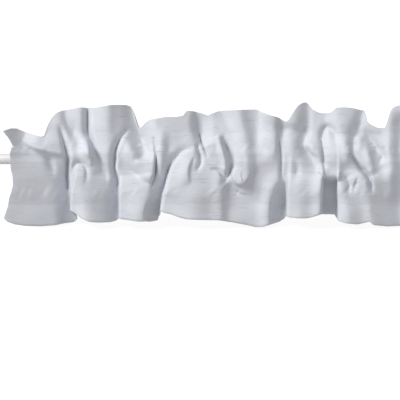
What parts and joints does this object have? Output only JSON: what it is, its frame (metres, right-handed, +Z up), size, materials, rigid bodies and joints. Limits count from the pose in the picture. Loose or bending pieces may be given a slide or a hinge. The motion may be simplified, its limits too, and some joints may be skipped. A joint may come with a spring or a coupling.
{
  "type": "gathered window valance on a curtain rod",
  "caption": "Ruffled rod-pocket window valance in pale slubbed cloth, gathered in deep uneven folds along a plain white round curtain rod.",
  "frame": {"origin": "centre of the rod's left end face, seen from the front", "axes": "+X along the rod from its left end to its right end, -Y towards the room and the viewer, +Z up"},
  "size_m": [0.82, 0.0609, 0.2179],
  "materials": {
    "cloth": "matte pale cool grey-white cloth with fine crosswise slubs",
    "rod": "satin white enamel"
  },
  "bodies": {
    "root": {"valance_cloth": "cloth", "curtain_rod": "rod"}
  },
  "joints": []
}
